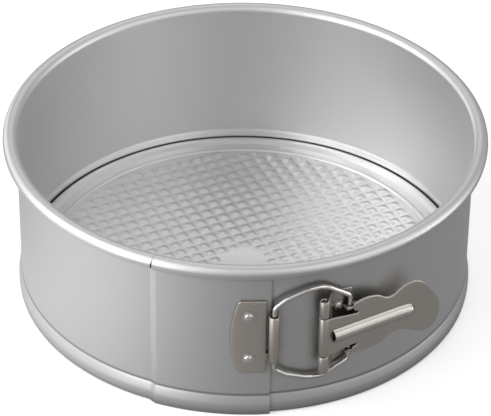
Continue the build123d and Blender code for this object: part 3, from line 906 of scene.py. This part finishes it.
def satin_aluminium(name, brightness, roughness, shade_reach, shade, bead_shade_and_sheen=False):
    """Anodised aluminium sheet: even grey, a fine matt grain, and faint cloudy patches.
    Painted shade darkens hollows over a reach in metres; shade is how open they are where it
    starts and ends. On the band, painted shade lines the crease over its bottom bead, and a
    painted sheen, with a lower roughness, brightens the inside of that bead."""
    n = Nodes(name)
    place = n.add("ShaderNodeTexCoord").outputs["Object"]
    cloud = n.noise(18, 2, place)
    grain = n.noise(2600, 2, place)
    tone = n.mix_colour(cloud, grey(brightness * 0.985), grey(brightness * 1.015))
    cloudy_rough = n.spread(cloud, roughness - 0.02, roughness + 0.02)
    rough = n.calculate("ADD", cloudy_rough, n.spread(grain, -0.03, 0.03))
    # painted shade: in hollows the tone darkens towards this grey
    in_shade = grey(brightness * 0.32)
    tone = n.mix_colour(n.openness(shade_reach, *shade), in_shade, tone)
    if bead_shade_and_sheen:
        # painted shade: a dark grey line along the crease over the bottom bead, outside
        crease_shade = n.calculate("MULTIPLY", n.crease(place), 0.65)
        tone = n.mix_colour(crease_shade, tone, grey(0.2))
        # painted sheen: inside the bottom bead the tone is brightened towards a light grey, and
        # the roughness lowered
        ring = n.bead_sheen_ring(place)
        tone = n.mix_colour(ring, tone, grey(0.95))
        rough = n.calculate("SUBTRACT", rough, n.calculate("MULTIPLY", ring, roughness * 0.5))
    bump = n.add("ShaderNodeBump", {"Height": grain, "Strength": 0.06, "Distance": 0.0002})
    n.set(n.shader, "Base Color", tone)
    n.set(n.shader, "Metallic", 1.0)
    n.set(n.shader, "Roughness", rough)
    n.set(n.shader, "Normal", bump.outputs["Normal"])
    return n.material


def plated_steel(name, brightness, roughness, warm, crevice_shade=0.12, flank=1.0):
    """Steel with a warm plating and a fine grain, with painted shade in its crevices; flank is how
    much of the brightness is left where a round surface turns away, a painted shade on its flanks."""
    n = Nodes(name)
    place = n.add("ShaderNodeTexCoord").outputs["Object"]
    cloud = n.noise(60, 3, place)
    grain = n.noise(1800, 2, place)
    tone = n.mix_colour(cloud, grey(brightness * 0.94, warm), grey(brightness * 1.06, warm))
    # painted shade: in crevices the tone darkens towards a share of its brightness
    tone = n.mix_colour(n.openness(0.0055, 0.3, 0.9), grey(brightness * crevice_shade, warm), tone)
    # painted shade: where a round surface turns away from the view, the tone darkens to the flank
    # share of its brightness
    flank_shade_mask = n.add("ShaderNodeLayerWeight", {"Blend": 0.5}).outputs["Facing"]
    flank_shade_mask = n.calculate("POWER", flank_shade_mask, 1.4)
    tone = n.mix_colour(flank_shade_mask, tone, grey(brightness * flank, warm))
    bump = n.add("ShaderNodeBump", {"Height": grain, "Strength": 0.08, "Distance": 0.0002})
    n.set(n.shader, "Base Color", tone)
    n.set(n.shader, "Metallic", 1.0)
    n.set(n.shader, "Roughness", n.spread(grain, roughness - 0.04, roughness + 0.04))
    n.set(n.shader, "Normal", bump.outputs["Normal"])
    return n.material


def floor_finish():
    """Pale paper. What the pan mirrors of it is a glow painted on the floor, brighter towards
    the left as if lit from there.
    """
    n = Nodes("floor_paper")
    place = n.add("ShaderNodeNewGeometry").outputs["Position"]
    fibre = n.noise(900, 2, place)
    direction = n.add("ShaderNodeVectorMath", {0: place}, operation="NORMALIZE").outputs["Vector"]
    left = tuple(around(FLOOR_LIGHT_AZIMUTH, 1))
    facing = n.add("ShaderNodeVectorMath", {0: direction, 1: left}, operation="DOT_PRODUCT")
    lobe = n.calculate("POWER", n.calculate("MAXIMUM", facing.outputs["Value"], 0.0), 3.0)
    glow = n.calculate("ADD", n.calculate("MULTIPLY", lobe, FLOOR_LEFT_GLOW), FLOOR_GLOW)
    # a painted shadow of the pan in the glow, right by its foot
    reach = n.add("ShaderNodeVectorMath", {0: place}, operation="LENGTH").outputs["Value"]
    foot = WALL_RADIUS * MM
    limits = {"Value": reach, "From Min": foot, "From Max": foot + FLOOR_FOOT_REACH}
    shade = n.add("ShaderNodeMapRange", {**limits, "To Min": FLOOR_FOOT_GLOW})
    glow = n.calculate("MULTIPLY", glow, shade.outputs["Result"])
    # painted light: to all but camera rays the floor glows with this instead of being lit
    mirrored = n.add("ShaderNodeEmission", {"Color": grey(1.0), "Strength": glow})
    n.set(n.shader, "Base Color", grey(0.92))
    n.set(n.shader, "Roughness", n.spread(fibre, 0.85, 0.95))
    n.set(n.shader, "Emission Color", grey(1.0))
    n.set(n.shader, "Emission Strength", FLOOR_EMISSION)
    seen = n.add("ShaderNodeLightPath").outputs["Is Camera Ray"]
    shaders = {0: seen, 1: mirrored.outputs[0], 2: n.shader.outputs[0]}
    both = n.add("ShaderNodeMixShader", shaders)
    n.set(n.tree.nodes["Material Output"], "Surface", both.outputs[0])
    return n.material


band_finish = satin_aluminium("satin_band", 0.74, 0.44, 0.007, (0.15, 0.88), bead_shade_and_sheen=True)
base_finish = satin_aluminium("satin_base", 0.78, 0.38, 0.0025, (0.4, 0.97))
latch_finish = plated_steel("latch_plating", 0.62, 0.36, 0.085)
bright_finish = plated_steel("bright_steel", 0.95, 0.16, 0.04, flank=0.22)
# painted highlight: the rib gets a brighter copy of the latch plating
rib_highlight_finish = plated_steel("rib_painted_highlight", 0.78, 0.32, 0.06, flank=0.45)


def finish_piece(piece, material, body, slot, *nodes):
    """Gives a piece its material and its place on a body, and hides what it stands for."""
    piece.data.materials.append(material)
    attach(piece, body)
    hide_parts(*nodes)


# ------------------------------------------------------------------------ put together
finish_piece(build_side_band(), band_finish, "band", "band_aluminium", "side_band")
finish_piece(build_base(), base_finish, "base", "base_aluminium", "base_plate")
finish_piece(build_catch_plate(), latch_finish, "band", "latch_steel", "catch_plate")
finish_piece(build_bracket(), latch_finish, "band", "latch_steel", "lever_bracket")
finish_piece(build_pin(), bright_finish, "band", "rivet_steel", "hinge_pin")
rivet_grip = STEEL + SHEET
catch_seat = OVERLAP_RADIUS + STEEL
catch_rivets = build_rivets("catch_rivets_domed", CATCH_AZIMUTH, catch_seat, rivet_grip)
finish_piece(catch_rivets, bright_finish, "band", "rivet_steel", "catch_rivets")
bracket_seat = WALL_RADIUS + STEEL
bracket_rivets = build_rivets("bracket_rivets_domed", BRACKET_AZIMUTH, bracket_seat, rivet_grip)
finish_piece(bracket_rivets, bright_finish, "band", "rivet_steel", "bracket_rivets")
lever = build_lever()
finish_piece(lever, latch_finish, "lever", "latch_steel", "lever")
lever.data.materials.append(rib_highlight_finish)
finish_piece(build_wire(), bright_finish, "bail", "wire_steel", "bail_wire")


# ------------------------------------------------------------- floor, light and camera
# softboxes by elevation, then azimuth, in watts: the strongest are on the left
LIGHT_RINGS = {
    15: {-135: 2.0, -90: 3.9, -45: 5.6, 45: 0.8, 90: 3.5},
    50: {-90: 5.0, -45: 2.6, 45: 1.6, 90: 1.1, 180: 1.2},
}
SOFTBOX_SIZE = 0.8               # metres
SOFTBOX_DISTANCE = 1.5           # metres
WORLD_STRENGTH = 0.43
FLOOR_HALF = 6.0                 # metres
FLOOR_GAP = 0.0002               # metres from the pan's foot down to the floor
CAMERA_DISTANCE = 5.95           # pan widths
CAMERA_ELEVATION = 35.47         # degrees
CAMERA_ROLL = 0.71               # degrees
CAMERA_LENS = 207.4              # millimetres, on a sensor 36 wide
CAMERA_AIM = (0.002, 0.442)      # to the right in pan widths, up in pan heights


def add_floor():
    """A square of floor just under the pan."""
    mesh = bpy.data.meshes.new("floor")
    half = FLOOR_HALF
    corners = [(-half, -half, 0), (half, -half, 0), (half, half, 0), (-half, half, 0)]
    mesh.from_pydata(corners, [], [(0, 1, 2, 3)])
    floor = bpy.data.objects.new("floor", mesh)
    floor.location.z = -FLOOR_GAP
    bpy.context.scene.collection.objects.link(floor)
    mesh.materials.append(floor_finish())


def add_softbox(azimuth, elevation, power):
    """A square softbox aimed at the pan from an azimuth and an elevation."""
    light = bpy.data.lights.new("softbox", "AREA")
    light.shape = "SQUARE"
    light.size = SOFTBOX_SIZE
    light.energy = power
    lamp = bpy.data.objects.new("softbox", light)
    reach = SOFTBOX_DISTANCE * cos(radians(elevation))
    lamp.location = around(azimuth, reach, SOFTBOX_DISTANCE * sin(radians(elevation)))
    aim = Vector((0, 0, PAN_HEIGHT * MM / 2)) - lamp.location
    lamp.rotation_euler = aim.to_track_quat("-Z", "Y").to_euler()
    bpy.context.scene.collection.objects.link(lamp)


def add_world(strength):
    """An even grey surrounding of a strength."""
    world = bpy.data.worlds.new("studio")
    bpy.context.scene.world = world
    world.use_nodes = True
    world.node_tree.nodes["Background"].inputs["Color"].default_value = grey(1.0)
    world.node_tree.nodes["Background"].inputs["Strength"].default_value = strength


def add_camera():
    """Looks down at the latch side along +Y, from a distance of six pan widths."""
    width = (band_high.x - band_low.x) * MM
    distance = CAMERA_DISTANCE * width
    elevation = radians(CAMERA_ELEVATION)
    aim = Vector((CAMERA_AIM[0] * width, 0, CAMERA_AIM[1] * PAN_HEIGHT * MM))
    camera_data = bpy.data.cameras.new("camera")
    camera_data.sensor_width = 36
    camera_data.lens = CAMERA_LENS
    camera_data.clip_end = 20
    camera = bpy.data.objects.new("camera", camera_data)
    back = Vector((0, -cos(elevation), sin(elevation)))
    camera.location = aim + back * distance
    upright = (-back).to_track_quat("-Z", "Y").to_matrix()
    roll = Matrix.Rotation(radians(CAMERA_ROLL), 3, "Z")
    camera.rotation_euler = (upright @ roll).to_euler()
    bpy.context.scene.collection.objects.link(camera)
    bpy.context.scene.camera = camera


add_floor()
add_world(WORLD_STRENGTH)
for elevation, ring in LIGHT_RINGS.items():
    for azimuth, power in ring.items():
        add_softbox(azimuth, elevation, power)
add_camera()
bpy.context.scene.view_settings.view_transform = "Standard"
